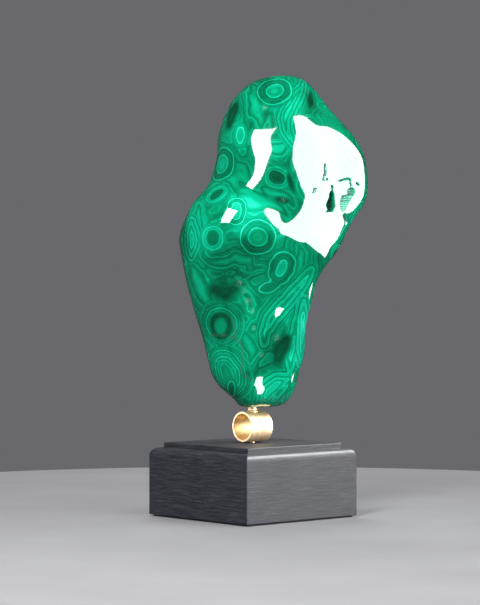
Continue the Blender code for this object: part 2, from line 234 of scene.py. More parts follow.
def smoothThrough(knots, values, at):
    # natural cubic spline: its bends solve the usual tridiagonal system
    knots, values = np.asarray(knots, float), np.asarray(values, float)
    step = np.diff(knots)
    slope = np.diff(values) / step
    count = len(knots)
    matrix, side = np.eye(count), np.zeros(count)
    for i in range(1, count - 1):
        matrix[i, i - 1 : i + 2] = step[i - 1], 2 * (step[i - 1] + step[i]), step[i]
        side[i] = 6 * (slope[i] - slope[i - 1])
    bend = np.linalg.solve(matrix, side)
    i = np.clip(np.searchsorted(knots, at) - 1, 0, count - 2)
    a, b, h = knots[i + 1] - at, at - knots[i], step[i]
    return (
        (bend[i] * a**3 + bend[i + 1] * b**3) / (6 * h)
        + (values[i] / h - bend[i] * h / 6) * a
        + (values[i + 1] / h - bend[i + 1] * h / 6) * b
    )


def levelOf(height):
    # heights fall from 0 to 1 as an arc cosine, so that levels crowd towards both ends
    share = np.clip(np.asarray(height, float) / stone["height"], 0, 1)
    return np.arccos(1 - 2 * share) / pi


def crowded(count, low, high):
    # count + 1 shares from 0 to 1, packed closer between low and high
    edge = stone["finerEdge"]
    fine = np.linspace(0, 1, 4001)
    inside = 1 / (1 + np.exp((low - fine) / edge)) / (1 + np.exp((fine - high) / edge))
    density = 1 + (stone["finer"] - 1) * inside
    total = np.concatenate([[0], np.cumsum((density[1:] + density[:-1]) / 2)])
    return np.interp(np.linspace(0, 1, count + 1), total / total[-1], fine)


def gridNormals(grid):
    around = np.roll(grid, -1, 1) - np.roll(grid, 1, 1)
    normal = np.cross(around, np.gradient(grid, axis=0))
    return normal / np.maximum(np.linalg.norm(normal, axis=2, keepdims=True), 1e-9)


def lineDistance(points, line):
    # distance of each (x, y) to a bent line, given as x and y by turns
    corners = np.reshape(np.asarray(line, float), (-1, 2))
    start, edge = corners[:-1], np.diff(corners, axis=0)
    offset = points[:, None] - start
    share = np.clip((offset * edge).sum(2) / (edge**2).sum(1), 0, 1)
    return np.linalg.norm(offset - share[..., None] * edge, axis=2).min(axis=1)


def swellLift(grid, normal):
    # each swell is a Gaussian of the distance to its line, seen from the front, and fades
    # where the surface turns away from its side
    lift, plane = 0, grid[..., (0, 2)].reshape(-1, 2)
    for side, *ends, spread, rise in stoneSwells:
        apart = lineDistance(plane, ends).reshape(grid.shape[:2])
        facing = smoothStep(normal[..., 1] * side, 0, stone["swellEdge"])
        lift += rise * np.exp(-0.5 * (apart / spread) ** 2) * facing
    return lift


def stoneGrid():
    # (across, towards, height) in millimetres: each section is a superellipse about its
    # middle, half its reach times (|cos|^n + |sin|^n)^(-1/n) for the power n of a direction
    level = crowded(stone["rows"] + 1, *levelOf(stone["finerHeights"]))[1:-1]
    theta = 2 * pi * crowded(stone["columns"], *stone["finerTurn"])[:-1]
    heights = [0, *(row[0] for row in stoneSections), stone["height"]]
    foot = [stone["lowest"][k // 2] for k in range(4)]
    top = [stone["highest"][k // 2] for k in range(4)]
    reach = np.array([foot, *(row[1:] for row in stoneSections), top])
    left, right, front, back = (
        smoothThrough(levelOf(heights), reach[:, k], level) for k in range(4)
    )
    power = np.full((len(level), len(theta)), stone["plainCorner"])
    cornerLevels = levelOf([row[0] for row in stoneCorners])
    for k in range(4):
        added = smoothThrough(cornerLevels, [row[1 + k] for row in stoneCorners], level)
        facing = np.cos(theta - pi / 4 - k * pi / 2)
        power += added[:, None] * np.clip(facing, 0, None) ** 4
    cosine, sine = np.cos(theta), np.sin(theta)
    out = (np.abs(cosine) ** power + np.abs(sine) ** power) ** (-1 / power)
    across = ((left + right) / 2)[:, None] + ((right - left) / 2)[:, None] * out * cosine
    towards = ((front + back) / 2)[:, None] + ((front - back) / 2)[:, None] * out * sine
    height = stone["height"] * (1 - np.cos(pi * level)) / 2
    grid = np.stack([across, towards, np.repeat(height[:, None], len(theta), axis=1)], axis=2)
    normal = gridNormals(grid)
    grid = grid + normal * swellLift(grid, normal)[..., None]
    a, t, h = (grid[..., k] for k in range(3))
    wave = np.sin(a / 5.1 + h / 8.3) * np.sin(h / 6.7 - t / 4.9 + 1)
    wave += np.sin(a / 9.7 - h / 4.3 + 2) * 0.6
    return grid + gridNormals(grid) * (stone["wave"] * wave)[..., None]


vugs = {
    "from": (36, 124),  # the part of the face that holds them, as (across, height)
    "highest": 172,
    "slitDepth": 9.0,
    "shellDepth": 1.9,
    "crackDepth": 1.7,
    "crackHalfWidth": 0.36,
}
slitMouth = (
    52.5, 152.8, 55.2, 152, 54.7, 149, 55.6, 145.6, 55.6, 142.1, 56, 137.6, 54.8, 134.8, 49.6,
    134.2, 51.1, 135.8, 49.9, 139.5, 51.7, 143.7, 52.4, 147.5, 53.8, 149.7, 53.6, 151.8,
)
shellMouth = (
    67.4, 152.5, 70.1, 150.2, 70.2, 147.1, 68, 144.7, 67.3, 142.6, 65.6, 140.5, 64, 137.4, 62.8,
    134.6, 61.1, 134.7, 59.6, 138, 59.6, 142.8, 60.6, 145.7, 62.7, 145.9, 64.8, 147.3, 63.8, 149.4,
)
cracks = (
    (49.2, 166.6, 49.5, 162.8, 49.4, 160.6, 48.6, 158.6, 48.3, 156.3),
    (59.2, 155.9, 62.1, 156.9, 65.2, 157.5, 67, 157, 66.9, 154.2, 67.4, 152.5),
    (62.5, 132.6, 64.4, 128.1), (71.3, 154.5, 72.8, 153.5), (40.9, 147.4, 42, 149.7),
    (50.5, 156.8, 50.7, 156.5),
)


def outlineDepth(points, corners):
    # distance inside an outline: to its nearest edge, positive where crossings are odd
    start = np.reshape(np.asarray(corners, float), (-1, 2))
    end = np.roll(start, -1, axis=0)
    edge, level = end - start, points[:, 1:]
    apart = lineDistance(points, [*corners, *corners[:2]])
    crosses = (start[:, 1] > level) != (end[:, 1] > level)
    rise = np.where(edge[:, 1] == 0, 1e-9, edge[:, 1])
    at = start[:, 0] + (level - start[:, 1]) * edge[:, 0] / rise
    inside = (crosses & (points[:, :1] < at)).sum(1) % 2
    return np.where(inside, apart, -apart)


def smoothStep(value, low, high):
    share = np.clip((value - low) / (high - low), 0, 1)
    return share * share * (3 - 2 * share)


def sinkVugs(grid):
    # how far each point goes in along its normal, and two shares that the finish reads:
    # the hollow share marks a slit or crack, whose inside is painted nearly black as shade; crust
    # is the rough green lining of the shell vug
    front = gridNormals(grid)[..., 1].ravel() > 0
    plane = grid[..., (0, 2)].reshape(-1, 2)
    near = front & (plane > vugs["from"]).all(axis=1) & (plane[:, 1] < vugs["highest"])
    spot = plane[near]
    across, height = spot.T
    ripple = np.sin(across * 2.3 + 1) * np.sin(height * 1.9)
    ripple += np.sin(across * 5.1 + height * 3.7) * 0.5
    slit = outlineDepth(spot, slitMouth) + 0.12 * ripple
    slitShare = smoothStep(slit, -0.1, 0.9)
    shell = outlineDepth(spot, shellMouth) + 0.15 * ripple
    shellShare = smoothStep(shell, -0.2, 1.6)
    crack = np.min([lineDistance(spot, line) for line in cracks], axis=0) + 0.08 * ripple
    crackShare = 1 - smoothStep(crack, vugs["crackHalfWidth"] * 0.6, vugs["crackHalfWidth"] * 1.9)
    lamella = 0.28 * np.sin(height * 3.3 + (across - 62) ** 2 * 0.07 + ripple)
    sink = slitShare * vugs["slitDepth"] + shellShare * (vugs["shellDepth"] + lamella)
    sink = np.maximum(sink, crackShare * vugs["crackDepth"])
    depth, shadedHollow, crust = (np.zeros(len(plane)) for _ in range(3))
    depth[near] = sink
    # the share that the finish paints nearly black as shade
    shadedHollow[near] = np.maximum(slitShare, crackShare)
    crust[near] = shellShare
    return depth.reshape(grid.shape[:2]), shadedHollow, crust


bands = {
    "softness": 1.0,  # millimetres over which the bands of two spines run together
    "depthShare": 1.3,  # how far bands reach into the stone against their width on its face
    "ease": 0.6,  # rounds the bands at a spine
    "taperShare": 0.11,  # how much older a spine is at its ends, for its length
    "mostTaper": 2.6,
    "backSpacing": 15,
    "backTries": 3000,
    "backFacing": 0.25,  # random spines keep to where the surface faces the front less
    "backRate": (0.8, 1.5),
    "longReach": (10, 30),
    "eyeReach": (0.5, 7),
    "backBend": 0.1,
    "backTone": 0.12,
    "backFlow": (2, 5),
    "seed": 11,
}
# The spines that the malachite grew from on the broad face, by the kind of bands round one: the
# age along it and the growth for each millimetre, how many percent paler its bands are, for an
# eye the age at which the flow bands leave it, and then its points, across and height by turns.
frontSpines = {
    "pale": (
        (1.4, 0.95, 6, 6.4, 14.1, 217.2, 16.2, 218), (0.4, 1.05, 5, 7, -21, 168.3, -21, 166.2),
        (0.5, 1.7, 2, 4, -10.9, 137.4, -10.7, 131.2), (0, 1, -6, 4.4, 3.7, 116.2, 4.1, 116.2),
        (3, 1, 3, 2, 17.7, 92.9, 21.1, 100.3),
        (8.4, 0.95, 0, 2.4, 6.3, 81.3, 11.7, 82.7, 16.4, 85.4),
        (8.2, 1.2, 0, 2, -14.2, 17.2, -14.2, 10.1), (0, 1, 10, 4, 52.7, 179.6, 55.5, 172.8),
        (3, 1, 8, 2, 58.3, 127.9, 50, 118.2),
    ),
    "flow": (
        (0, 1, 3, 27.1, 228.2, 26, 221.1, 27.6, 216.8, 25.4, 212.4, 19.2, 208, 15.3, 203.1, 13.9,
         195.4, 13.7, 189.8),
        (1.2, 1, 10, 32.3, 211.9, 30.1, 205.3, 28, 196.8, 27.9, 189.9),
        (0, 1, -3, -0.4, 223.2, 2.3, 216.8, 2.9, 211, 6.3, 203.8, 8.5, 198.9),
        (0, 1, -2, 20.6, 212.3, 15.8, 207.3, 10.3, 201), (0, 0.8, 4, 8.1, 205.4),
        (4.2, 1, -14, 6.5, 226.8, -1.8, 220.9),
        (2.6, 1, 0, -5.3, 215, -1.9, 208.9, -1.9, 201.1, -3.9, 196.2),
        (0, 1, 5, -3.2, 217.1, 0.2, 210.3, 2.2, 203.8, 4.9, 198.2, 6.2, 190.5),
        (4.2, 1, -8, -1.9, 196.1, -3.9, 192), (0, 1, 8, -21, 178.5, -15.5, 171.3, -10.1, 165.6),
        (4.2, 1, 0, -23.2, 190.5, -23.1, 183, -23.8, 176.3),
        (0, 0.8, 12, 13, 176.1, 18.4, 176.8, 21.1, 180.2), (4.2, 0.5, -6, 22.4, 174.8, 19.1, 168),
        (0, 1, 0, 34, 161.2, 34.7, 151.8, 36, 143.7),
        (4.2, 0.7, 3, -1.2, 176.2, 1.5, 166, -0.6, 159.3),
        (0, 1, -3, -14.8, 172.6, -11.4, 165.7, -6, 164.1, -3.9, 157.4),
        (0, 1, -3, -10.1, 161.6, -6, 157.4, -2.6, 153.3),
        (0, 1, 0, -34, 145.7, -30.6, 150.6, -26, 154.4, -21, 157.2, -16.2, 158.4, -13.5, 155.5,
         -12.1, 149.9, -8.7, 145),
        (0, 1, 0, -11.4, 157.5, -10.1, 152, -7.3, 148.5, -1.9, 147.8, 2.1, 143.6, 7.5, 139.4, 15,
         138.1, 19.7, 135.4, 23.7, 129.9),
        (0, 0.6, 26, -8, 142.9, -1.9, 140.8, -0.6, 138, 10.2, 138.5), (4.4, 0.7, -4, 28.5, 133.4),
        (0, 1, -2, 6.2, 150.5, 11.6, 147.8, 18.4, 146.4, 25.2, 143, 27.9, 138.2),
        (4.4, 0.4, 3, -20.9, 138.8, -27.7, 134.1),
        (0, 0.9, 10, -36.7, 138.6, -37.2, 125.5, -36.6, 111.9, -33.2, 103.1),
        (2.4, 0.8, -10, -47.3, 128, -47.7, 112.2, -44.3, 100.5),
        (0, 1, -7, -33.8, 103.8, -27.7, 99.9, -19.5, 99.6, -15.5, 101, -12.1, 103.7, -8.7, 102.1,
         -3.3, 101.2, -1.2, 96.9, 8.2, 96.7),
        (4.2, 1, -12, -31.8, 96.3, -18.9, 95.6, -3.3, 94.9, 2.2, 92.2, 6.2, 92.2),
        (4.2, 0.7, -16, -26.4, 88.1, -10.1, 90.8, -1.9, 90.2),
        (0, 1, -5, 31.9, 111.1, 32.6, 104.4, 30.6, 96.2, 26.6, 88.1, 19.8, 83.4),
        (0, 1, 0, 21.2, 81.3, 15.8, 75.9, 10.4, 69.1, 3.6, 60.9),
        (0, 1, 4, 33.4, 78.6, 27.9, 71.8, 23.9, 65, 23.9, 56.9, 25.3, 51.4),
        (3.2, 0.5, 6, -6.7, 81.3, -2.6, 74.5, -0.5, 65),
        (0, 0.5, 0, -41.5, 95, -36.7, 85.4, -31.9, 75.9), (4.4, 0.5, -10, 2.2, 77.3, 3.6, 70.5),
        (4.4, 0.6, -16, -18.9, 74.5, -11.4, 70.5, -7.3, 63.6),
        (0, 0.9, 3, -8.7, 52.8, -3.2, 46.6, 0.2, 39.1, -1.2, 32.3),
        (4.4, 0.4, 2, -11.4, 43.9, -8.7, 36.4), (0, 0.8, 4, 0.8, 55.5),
        (4.2, 0.8, -4, 3.6, 47.3, 4.2, 37.8, -0.5, 29.6),
        (0, 1, -6, 21.2, 57.5, 17.2, 50.7, 13.1, 43.8),
        (4.2, 0.7, -6, 6.3, 25.5, 13.2, 26.7, 21.3, 24),
        (0, 1, 7, 7.6, 18.7, 14.5, 20.7, 22.7, 21.3), (4.4, 0.4, 3, -25.1, 23.8, -21, 15.5),
        (4.4, 0.4, 0, -4.6, 15.9, -3.2, 6.3), (4.2, 0.7, -12, -1.9, 25.5, -6, 21.4),
        (0, 1, 8, 40.3, 193, 36, 176.2, 36, 158.5),
    ),
    "strand": (
        (0.6, 1, 2, 4, 34.7, 224.8, 33.9, 220.2, 30.3, 214.7, 27.4, 208.1, 23.3, 202.4, 22.1, 196.8,
         23.2, 189.8, 26.5, 182.3, 27.9, 178.9),
        (0, 0.9, 4, 4, -42.1, 127.7, -41.4, 115.4, -42.1, 104.5),
        (1.6, 0.8, 3, 4, 39.5, 93.6, 33.4, 85.4, 26.6, 77.3, 19.8, 70.5, 13.1, 62.3, 8.3, 52.7, 7.7,
         44.6),
        (0, 0.9, 20, 4, 34.8, 74.5, 34.2, 60.9, 33.5, 47.3, 33.1, 32.1),
        (2.4, 0.9, 16, 5, 29.3, 62.3, 28.1, 47.3, 26.1, 34.9, 25.5, 24),
        (0, 0.8, 10, 4, 6.3, 4.9, 11.1, 12.6, 17.2, 17.3, 24.1, 20.6),
        (1.6, 0.8, 8, 4, 13.2, 4.1, 17.9, 11.8, 26.2, 18.5),
        (0.4, 0.9, 14, 4, 21.6, 3, 26.3, 10, 29.8, 16.7),
    ),
    "dark": (
        # dark bands, and here also painted shade along the crease under the top, on the right
        (4.6, 1.3, 0, 2.5, 40.3, 219.3, 39.8, 211.9, 38.5, 204.4),
        (4.2, 0.75, 0, 4.2, -11.9, 208.1, -16, 194.7),
        (5.2, 1.5, 0, 4, 23.1, 163.9, 25.2, 155.8, 27.2, 149.1, 29.9, 143.7),
        (5.8, 1, 0, 3, 15.7, 142.9, 23.1, 141.6),
        # dark bands, and in these two also painted shade in the shallow dish on the left of the
        # lower front
        (4.8, 0.45, 0, 3, -26.4, 82, -19.6, 80.7, -12.8, 82), (6, 1, 0, 3, -14.1, 87.4, -6, 85.4),
        (-0.4, 0.95, 0, 6, -21.9, 58.6, -21.6, 55.4),
        # dark bands, and here also painted shade in the dimple low on the right of the front
        (4.4, 0.6, 0, 2.5, 23.3, 47.3, 18.6, 40.4, 17.3, 34.9),
    ),
    "ringed": (
        (4.8, 0.76, 13, 1.5, -8, 190, -8.2, 181.8), (0, 1, -10, 4.5, 15.7, 157.9, 18.4, 156.5),
        (1.6, 1.1, -5, 2.5, -27.6, 144.4, -21.6, 147.8),
        (0, 0.95, 2, 2, -26.7, 117.4, -26.7, 115.6), (0, 1, 10, 2, 45.6, 149.2, 49.1, 145.3),
        (4.8, 0.8, 15, 2, 63.8, 159.3, 66.6, 153.9),
    ),
    "arched": (
        (3, 0.85, -4, 6, -21.8, 57.4), (0, 1, 4, 6, -19.6, 28.4, -16, 20),
    ),
}
# the random spines' kinds, ages and growth for each millimetre
backKinds = (
    ("flow", 0, 1), ("flow", 4.2, 0.8), ("flow", 0, 0.7), ("pale", 0, 1.05),
    ("ringed", 0, 0.95), ("pale", 3, 1), ("strand", 0, 0.9), ("dark", 4.4, 0.7),
    ("arched", 0, 0.9), ("strand", 1.6, 0.8), ("flow", 0, 1), ("strand", 0, 0.7),
)


def nearestPoint(grid, facing, spot):
    # the point of the broad face that is seen at (across, height)
    apart = np.linalg.norm(grid[:, (0, 2)] - spot, axis=1) + 1000 * (facing <= 0)
    return grid[np.argmin(apart)]


def bandSpines(grid):
    # the front's spines, then short ones at random over the rest, apart from one another
    normals = gridNormals(grid).reshape(-1, 3)
    grid = grid.reshape(-1, 3)
    spines = []
    for kind, rows in frontSpines.items():
        for start, rate, tone, *run in rows:
            flow = start if kind == "flow" else run.pop(0)
            seen = np.reshape(run, (-1, 2))
            points = np.array([nearestPoint(grid, normals[:, 1], spot) for spot in seen])
            spines.append((kind, points, start, rate, tone / 100, flow))
    taken = np.concatenate([spine[1] for spine in spines])
    chance = np.random.default_rng(bands["seed"])
    for k in chance.permutation(len(grid))[: bands["backTries"]]:
        spot, normal = grid[k], normals[k]
        if normal[1] > bands["backFacing"]:
            continue
        if np.linalg.norm(taken - spot, axis=1).min() < bands["backSpacing"]:
            continue
        kind, start, rate = backKinds[chance.integers(len(backKinds))]
        rate *= chance.uniform(*bands["backRate"])
        aim = np.cross(normal, chance.normal(size=3))
        reach = chance.uniform(*bands["longReach" if kind in ("flow", "strand") else "eyeReach"])
        steps = np.linspace(-0.5, 0.5, 4)[:, None] * reach * aim / np.linalg.norm(aim)
        bend = chance.normal(size=(4, 3)) * reach * bands["backBend"]
        points = np.array([
            grid[np.argmin(np.linalg.norm(grid - spot - step, axis=1))] for step in steps + bend
        ])
        taken = np.concatenate([taken, points])
        flow = start if kind == "flow" else chance.uniform(*bands["backFlow"])
        tone = chance.uniform(-bands["backTone"], bands["backTone"])
        spines.append((kind, points, start, rate, tone, flow))
    return spines


def spineReach(points, spine):
    # each point's distance to a bent line, as sqrt(d squared + ease squared) - ease, plus a
    # share that grows with the square of the way from the line's middle, so that the bands
    # round it end in points, and the way out from it
    flat = np.array([1, 1 / bands["depthShare"], 1])
    lengths = np.linalg.norm(np.diff(spine, axis=0), axis=1)
    whole, before = lengths.sum(), 0
    best, along = np.full(len(points), np.inf), np.zeros(len(points))
    away = np.zeros_like(points)
    for k, start in enumerate(spine[:-1] if whole else spine):
        edge = (spine[k + 1] - start) * flat if whole else np.zeros(3)
        offset = (points - start) * flat
        share = np.clip(offset @ edge / max(edge @ edge, 1e-9), 0, 1)
        offset -= share[:, None] * edge
        square = (offset**2).sum(axis=1)
        nearer = square < best
        best = np.where(nearer, square, best)
        away[nearer] = offset[nearer]
        if whole:
            along[nearer] = (before + share[nearer] * lengths[k]) * 2 / whole - 1
            before += lengths[k]
    away /= np.maximum(np.linalg.norm(away, axis=1, keepdims=True), 0.3)
    taper = min(bands["taperShare"] * whole, bands["mostTaper"]) * along**2
    return np.sqrt(best + bands["ease"] ** 2) - bands["ease"] + taper, away


def bandFields(points, spines):
    # flow is the soft least age from all spines; each kind of eye keeps its own plain least
    weights, tone, outward = np.zeros(len(points)), np.zeros(len(points)), np.zeros_like(points)
    fields = {kind: np.full(len(points), 30.0) for kind in eyeBands}
    for kind, spine, start, rate, paler, flow in spines:
        reach, away = spineReach(points, spine)
        age = flow + reach * (rate if kind == "flow" else 1)
        weight = np.exp(-age / bands["softness"])
        weights += weight
        tone += weight * paler
        outward += weight[:, None] * away
        if kind != "flow":
            fields[kind] = np.minimum(fields[kind], start + rate * reach)
    fields["flow"] = -bands["softness"] * np.log(weights)
    fields["tone"] = tone / weights
    fields["outward"] = outward / weights[:, None]
    return fields


# grey seams, and spots between bands that hold whitish grain specks and, on the lower front,
# painted grey reflections: across and height, and a spot's radius
seams = (
    (-28.5, 50.6, -22.3, 51.3, -12.8, 48.6, -8.7, 45.9, -6.7, 40.5, -6.6, 32.3, -8.7, 25.5, -0.5,
     19.4),
    (-14.8, 62.3, -11.4, 55.5, -12.8, 48.6),
)
grainAndReflectionSpots = (
    (8.1, 205.4, 2.4), (0.8, 55.5, 2.2), (-9, 86, 3), (-6, 80.7, 2.6), (-3.3, 73.9, 2.8),
    (-1, 67, 2.6), (20.4, 142.3, 2.2), (16.5, 48.6, 3), (6.3, 37.1, 2.2),
)
malachite = {
    "roughness": 0.045,
    "haze": 0.02,  # how much the roughness varies
    "dullSeam": 0.12,  # roughness that a seam adds, and that a vug or crack adds
    "dullVug": 0.95,
    "wideWaver": 4.4,  # millimetres by which the bands waver, and that noise's scale
    "wideScale": 0.09,
    "narrowWaver": 0.5,
    "narrowScale": 0.5,
    "eyeWaver": 0.55,  # the share of the waver that eyes follow
    "lineStrength": 0.33,
    "lineScale": 1.5,
    "fibreStrength": 0.10,
    "fibreScale": 11.0,
    "cloudStrength": 0.36,
    "cloudScale": 0.035,
    "seamTone": (48, 92, 78),
    # painted reflection: the pale grey-green of the spots on the lower front, also the colour of
    # whitish grain specks
    "grainAndReflectionTone": (132, 172, 158),
    # painted shade: the near-black colour inside a slit or crack
    "hollowShadeTone": (0, 16, 12),
}
# age in millimetres of growth, percent of light in its band, and its share over the flow
flowBands = (
    (0, 60), (0.8, 56), (1.7, 44), (2.3, 36), (2.7, 30), (3, 44), (3.6, 48), (3.85, 68), (4.1, 44),
    (5, 40), (5.25, 56), (5.5, 38), (6.7, 32), (7, 46), (7.2, 66), (7.5, 42), (8.6, 50), (9, 32),
    (9.4, 46), (10.8, 42), (11.05, 68), (11.3, 42), (13.2, 34), (13.5, 58), (13.8, 40), (17, 46),
    (20, 44),
)
eyeBands = {
    "strand": (
        (0, 66), (0.4, 48), (0.8, 76), (1.2, 50), (1.8, 36), (2.1, 66), (2.5, 46), (2.9, 74),
        (3.3, 42), (4.1, 34), (4.4, 64), (4.8, 44), (5.4, 70), (5.8, 38), (6.6, 32), (7, 60),
        (7.4, 40, 0.9), (8.4, 46, 0),
    ),
    "arched": (
        (0, 36), (3.1, 34), (3.4, 64), (3.8, 40), (5.1, 36), (5.4, 68), (5.8, 42), (7.4, 42),
        (7.8, 78), (8.2, 42), (9.6, 40), (10, 62), (10.3, 40), (11.6, 38), (12, 76), (12.4, 36),
        (13.3, 32), (13.6, 58), (13.9, 36), (14.9, 34), (15.2, 60), (15.5, 36), (16.6, 60),
        (17, 36), (18, 42, 0),
    ),
    "pale": (
        (0, 56), (2.4, 60), (3, 50), (5.2, 55), (5.7, 80), (6.2, 36), (7.6, 28), (8, 42), (8.4, 30),
        (10.5, 32), (10.9, 72), (11.3, 70), (11.8, 34), (14.5, 38, 0),
    ),
    "ringed": (
        (0, 26), (4, 32), (4.4, 68), (4.8, 50), (6.2, 55), (6.6, 76), (7, 44), (7.6, 40), (7.9, 54),
        (8.2, 40), (9.8, 44, 0),
    ),
    "dark": (
        (0, 44), (1, 46), (3, 36), (4.2, 14), (6, 13), (7, 26, 0.9), (9, 38, 0),
    ),
}
malachiteTones = (
    (0, (0, 36, 20)), (0.25, (0, 93, 62)), (0.5, (0, 140, 98)), (0.75, (6, 191, 146)),
    (1, (58, 234, 200)),
)
shellTones = (
    (0.4, (0, 84, 64)), (0.5, (0, 140, 108)), (0.56, (120, 225, 200)), (0.66, (10, 130, 100)),
)


def bandRamp(net, age, rows):
    # rows are (age, lightness) or (age, lightness, share); the ramp covers 20 mm of growth
    stops = [(row[0] / 20, (row[1] / 100,) * 3, *row[2:]) for row in rows]
    return net.ramp(net.math("DIVIDE", age, 20.0), stops)


def malachiteFinish():
    net, shader, made = newFinish("polishedMalachite", Roughness=malachite["roughness"], IOR=1.7)
    place = net.place()
    kinds = ("flow", *eyeBands, "tone", "shadedHollow", "crust", "seam", "gap")
    field = {kind: net.read(kind) for kind in kinds}
    # a wide and a narrow waver of the ages
    wide, narrow = malachite["wideWaver"], malachite["narrowWaver"]
    noise = net.noise(place, malachite["wideScale"], 2)
    waver = net.math("MULTIPLY_ADD", noise, wide, -wide / 2)
    noise = net.noise(place, malachite["narrowScale"], 2)
    ripple = net.math("MULTIPLY_ADD", noise, narrow, -narrow / 2)
    waver = net.math("ADD", waver, ripple)
    age = net.math("ABSOLUTE", net.math("ADD", field["flow"], waver))
    light = bandRamp(net, age, flowBands).outputs[0]
    for kind, rows in eyeBands.items():
        own = net.math("MULTIPLY_ADD", waver, malachite["eyeWaver"], field[kind])
        ramp = bandRamp(net, own, rows)
        sockets = {0: ramp.outputs[1], 2: light, 3: ramp.outputs[0]}
        light = net.add("Mix", sockets).outputs[0]
    # hair-fine growth lines: noise that runs quickly along the age and slowly through the stone
    quick = net.math("MULTIPLY", age, malachite["lineScale"])
    step = net.add("CombineXYZ", {0: quick}).outputs[0]
    vector = net.vector("ADD", net.vector("SCALE", place, 0.03), step)
    lines = net.math("SUBTRACT", net.noise(vector, 1.0, 3, 0.65), 0.5)
    # silky fibres that stand across the bands, fanning out from each spine
    fan = net.vector("SCALE", net.read("outward", "Vector"), malachite["fibreScale"])
    vector = net.vector("ADD", fan, net.vector("SCALE", place, 0.05))
    fibres = net.math("SUBTRACT", net.noise(vector, 1.0, 2, 0.6), 0.5)
    clouds = net.math("SUBTRACT", net.noise(place, malachite["cloudScale"], 2), 0.5)
    for kind, part in ("line", lines), ("fibre", fibres), ("cloud", clouds):
        light = net.math("MULTIPLY_ADD", part, malachite[kind + "Strength"], light)
    light = net.math("ADD", light, field["tone"], clamp=True)
    colour = net.tones(light, malachiteTones)
    # seams are dull and grey, gap spots hold whitish grain specks and painted grey reflections,
    # the shell vug's lining is dull and striped, and a slit or crack is painted near black as shade
    # speckle that breaks up the whitish grain specks and the painted grey reflections alike
    grainAndReflectionSpeckle = net.math("MULTIPLY_ADD", net.noise(place, 1.3, 2), 4.0, -1.8, clamp=True)
    stripes = net.noise(net.place(0.12, 0.12, 0.75), 1.0, 2)
    for share, shade in (
        (net.math("MULTIPLY", field["seam"], 0.65), screenTone(malachite["seamTone"])),
        (net.math("MULTIPLY", field["gap"], grainAndReflectionSpeckle), screenTone(malachite["grainAndReflectionTone"])),
        (field["crust"], net.tones(stripes, shellTones)),
        # painted shade: a slit or crack goes nearly black
        (field["shadedHollow"], screenTone(malachite["hollowShadeTone"])),
    ):
        colour = net.mix(share, colour, shade)
    dull = net.math("MULTIPLY", field["seam"], malachite["dullSeam"])
    for kind in ("crust", "shadedHollow"):
        vug = net.math("MULTIPLY", field[kind], malachite["dullVug"])
        dull = net.math("MAXIMUM", dull, vug)
    least = malachite["roughness"] - malachite["haze"] / 2
    haze = net.math("MULTIPLY_ADD", net.noise(place, 0.3, 4), malachite["haze"], least)
    roughness = net.math("ADD", haze, dull)
    joinFinish(shader, colour, roughness, net.bump(0.12, 0.00002, light))
    return made


def placeStone(points):
    # from (across, towards, height) in millimetres to the object's frame in metres
    c, s = cos(radians(stone["turn"])), sin(radians(stone["turn"]))
    a, t, h = (points[..., k] for k in range(3))
    return np.stack([a * c + t * s, a * s - t * c, stone["foot"] + h], axis=-1) * mm


def writeValues(mesh, name, values, kind="FLOAT"):
    layer = mesh.attributes.new(name, kind, "POINT")
    key = "vector" if kind == "FLOAT_VECTOR" else "value"
    layer.data.foreach_set(key, values.astype(np.float32).ravel())


def footRows(ring):
    # the underside, drawn in from the lowest full ring to the pin hole and up inside it
    radius = stone["pinHole"]
    angle = np.arctan2(ring[:, 1], ring[:, 0])
    hole = turnedPoints(radius, angle, 0.35)
    shares = np.linspace(1, 0, 7)[:, None, None]
    under = hole + (ring - hole) * shares ** (1.0, 1.0, 1.6)
    up = np.stack([hole + (0, 0, rise) for rise in (0.4, 10, 20, stone["pinHoleDepth"] - 0.35)])
    return np.concatenate([up[::-1], under[:0:-1]])


def makeStone():
    grid = stoneGrid()
    spines = bandSpines(grid)
    facing = gridNormals(grid)[..., 1].ravel()
    depth, shadedHollow, crust = sinkVugs(grid)
    first = int(np.argmax(grid[:, 0, 2] > 1.4))
    shaped = grid - gridNormals(grid) * depth[..., None]
    plane = grid[..., (0, 2)].reshape(-1, 2)
    seam = 1 - smoothStep(np.min([lineDistance(plane, line) for line in seams], axis=0), 0.2, 0.9)
    # spots of whitish grain specks and of painted grey reflection
    gap = np.max([
        1 - smoothStep(np.linalg.norm(plane - spot[:2], axis=1), 0, spot[2]) for spot in grainAndReflectionSpots
    ], axis=0)
    rows = footRows(grid[first])
    grid = np.concatenate([rows, grid[first:]])
    shaped = np.concatenate([rows, shaped[first:]])
    tips = [(0, 0, stone["pinHoleDepth"]), (*stone["highest"], stone["height"])]
    fields = bandFields(np.vstack([grid.reshape(-1, 3), tips]), spines)
    piece = makeSurface(
        "malachiteFreeform", placeStone(shaped), malachiteFinish(),
        tips=[placeStone(np.array(tip, float)) for tip in tips],
    )
    inside, kept = np.zeros(len(rows) * grid.shape[1]), slice(first * grid.shape[1], None)
    front = facing > 0
    marks = {"shadedHollow": shadedHollow, "crust": crust, "seam": seam * front, "gap": gap * front}
    for name, values in marks.items():
        fields[name] = np.concatenate([inside, values[kept], [0, 0]])
    for name, values in fields.items():
        writeValues(piece.data, name, values, "FLOAT_VECTOR" if name == "outward" else "FLOAT")
    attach(piece, "root")
    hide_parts("malachite_freeform")
    print("stone shaped:", len(piece.data.polygons), "faces,", len(spines), "growth spines")


makeStone()


